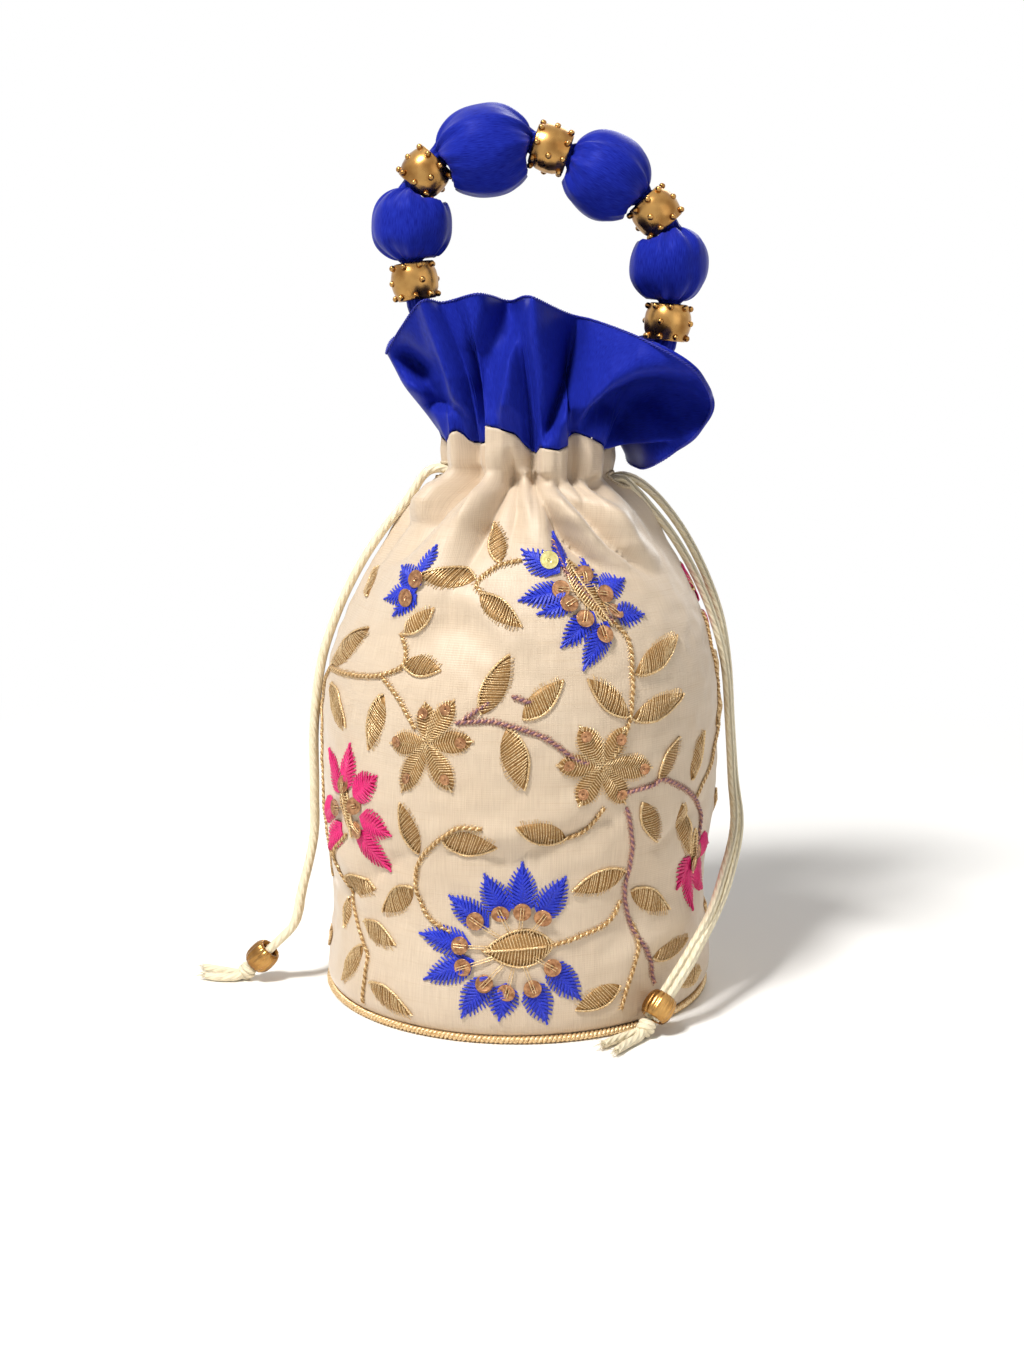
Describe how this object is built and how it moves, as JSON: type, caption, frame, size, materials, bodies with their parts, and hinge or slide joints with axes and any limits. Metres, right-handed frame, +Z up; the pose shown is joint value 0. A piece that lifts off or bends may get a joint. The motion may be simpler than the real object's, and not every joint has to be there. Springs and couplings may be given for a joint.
{
  "type": "potli bag",
  "caption": "Drawstring potli bag: round gathered silk body on a flat base, satin frill, stuffed hoop handle with barrel rings, and two drawcords with end beads.",
  "frame": {"origin": "centre of the base's underside", "axes": "+Z up, -Y the front with the large flowers, +X to the right as seen from the front, where the frill's drooping lobe is"},
  "size_m": [0.1949, 0.1468, 0.3038],
  "materials": {
    "ivory_silk": "ivory dupion silk",
    "lining_cloth": "plain woven lining",
    "blue_satin": "royal blue satin",
    "grey_board": "uncoated board",
    "zari_piping": "gold zari cord",
    "cord_satin": "cream satin cord",
    "antique_gold": "antique gold plate",
    "stuffing": "fibre stuffing",
    "blue_thread": "blue embroidery thread",
    "pink_thread": "pink embroidery thread",
    "gold_thread": "gold zari thread"
  },
  "bodies": {
    "bag": {"bag_shell": "ivory_silk", "bag_lining": "lining_cloth", "frill": "blue_satin", "base_panel": "ivory_silk", "base_board": "grey_board", "base_piping": "zari_piping", "left_drawcord": "cord_satin", "right_drawcord": "cord_satin", "left_knot": "cord_satin", "right_knot": "cord_satin", "blue_flower_upper": "blue_thread", "blue_flower_lower": "blue_thread", "pink_flower_left": "pink_thread", "pink_flower_right": "pink_thread", "gold_flower_left": "gold_thread", "gold_flower_right": "gold_thread"},
    "handle": {"handle_cover": "blue_satin", "handle_core_1": "stuffing", "handle_core_2": "stuffing", "handle_core_3": "stuffing", "handle_core_4": "stuffing"},
    "ring_1": {"handle_ring_1": "antique_gold"},
    "ring_2": {"handle_ring_2": "antique_gold"},
    "ring_3": {"handle_ring_3": "antique_gold"},
    "ring_4": {"handle_ring_4": "antique_gold"},
    "ring_5": {"handle_ring_5": "antique_gold"},
    "left_bead": {"left_end_bead": "antique_gold"},
    "right_bead": {"right_end_bead": "antique_gold"}
  },
  "joints": [
    {"name": "handle_swing", "type": "hinge", "parent": "bag", "child": "handle", "pos_m": [0.004, 0, 0.19435], "axis": [1, 0, 0], "range_deg": [-12, 12]},
    {"name": "ring_1_spin", "type": "hinge", "parent": "handle", "child": "ring_1", "pos_m": [-0.03481, 0, 0.24624], "axis": [-0.1392, 0, 0.9903], "continuous": true},
    {"name": "ring_2_spin", "type": "hinge", "parent": "handle", "child": "ring_2", "pos_m": [-0.03094, 0, 0.2817], "axis": [0.6691, 0, 0.7431], "continuous": true},
    {"name": "ring_3_spin", "type": "hinge", "parent": "handle", "child": "ring_3", "pos_m": [0.0112, 0, 0.28953], "axis": [0.9511, 0, -0.309], "continuous": true},
    {"name": "ring_4_spin", "type": "hinge", "parent": "handle", "child": "ring_4", "pos_m": [0.04657, 0, 0.26892], "axis": [0.6691, 0, -0.7431], "continuous": true},
    {"name": "ring_5_spin", "type": "hinge", "parent": "handle", "child": "ring_5", "pos_m": [0.05122, 0, 0.23263], "axis": [-0.0872, 0, -0.9962], "continuous": true},
    {"name": "left_bead_slide", "type": "slide", "parent": "bag", "child": "left_bead", "axis": [0.7035, -0.1005, 0.7035], "range_m": [0, 0.006]},
    {"name": "right_bead_slide", "type": "slide", "parent": "bag", "child": "right_bead", "axis": [0.5514, 0.4511, 0.7018], "range_m": [0, 0.006]}
  ]
}
